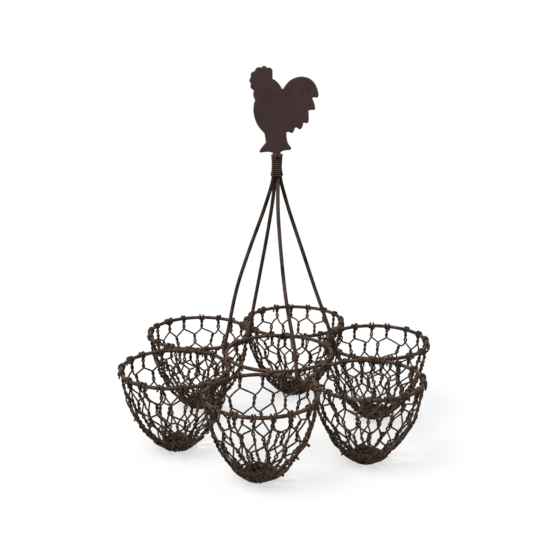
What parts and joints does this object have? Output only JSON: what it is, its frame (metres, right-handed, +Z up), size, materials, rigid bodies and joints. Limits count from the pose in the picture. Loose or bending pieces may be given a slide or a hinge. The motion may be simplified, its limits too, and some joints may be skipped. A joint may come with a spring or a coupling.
{
  "type": "wire egg basket",
  "caption": "Tabletop egg basket: netting cups set round a centre ring, carried by splayed wire stays bound together under a flat sheet-metal rooster.",
  "frame": {"origin": "on the table, under the middle of the centre ring, at the centre of the underside of the object's box", "axes": "+Z up to the rooster; -Y towards the front cup; +X to the right seen from the front"},
  "size_m": [0.2082, 0.2286, 0.2598],
  "materials": {
    "frame_wire": "dark rusty brown painted wire, satin with worn lighter patches",
    "net_wire": "dark brown painted netting wire, satin and slightly rusty",
    "binding_wire": "dark brown binding wire, satin",
    "rooster_sheet": "dark brown painted sheet, matte with faint mottling and worn edges",
    "weld": "rough weld beads under the same dark brown paint"
  },
  "bodies": {
    "root": {"rooster_plate": "rooster_sheet", "neck_binding": "binding_wire", "stay_left": "frame_wire", "stay_back": "frame_wire", "stay_front": "frame_wire", "stay_right": "frame_wire", "stay_left_weld": "weld", "stay_back_weld": "weld", "stay_front_weld": "weld", "stay_right_weld": "weld", "centre_ring": "frame_wire", "cup_rim_1": "frame_wire", "cup_net_1": "net_wire", "cup_base_1": "net_wire", "rim_weld_1": "weld", "ring_weld_1": "weld", "cup_rim_2": "frame_wire", "cup_net_2": "net_wire", "cup_base_2": "net_wire", "rim_weld_2": "weld", "ring_weld_2": "weld", "cup_rim_3": "frame_wire", "cup_net_3": "net_wire", "cup_base_3": "net_wire", "rim_weld_3": "weld", "ring_weld_3": "weld", "cup_rim_4": "frame_wire", "cup_net_4": "net_wire", "cup_base_4": "net_wire", "rim_weld_4": "weld", "ring_weld_4": "weld", "cup_rim_5": "frame_wire", "cup_net_5": "net_wire", "cup_base_5": "net_wire", "rim_weld_5": "weld", "ring_weld_5": "weld", "cup_rim_6": "frame_wire", "cup_net_6": "net_wire", "cup_base_6": "net_wire", "rim_weld_6": "weld", "ring_weld_6": "weld"}
  },
  "joints": []
}
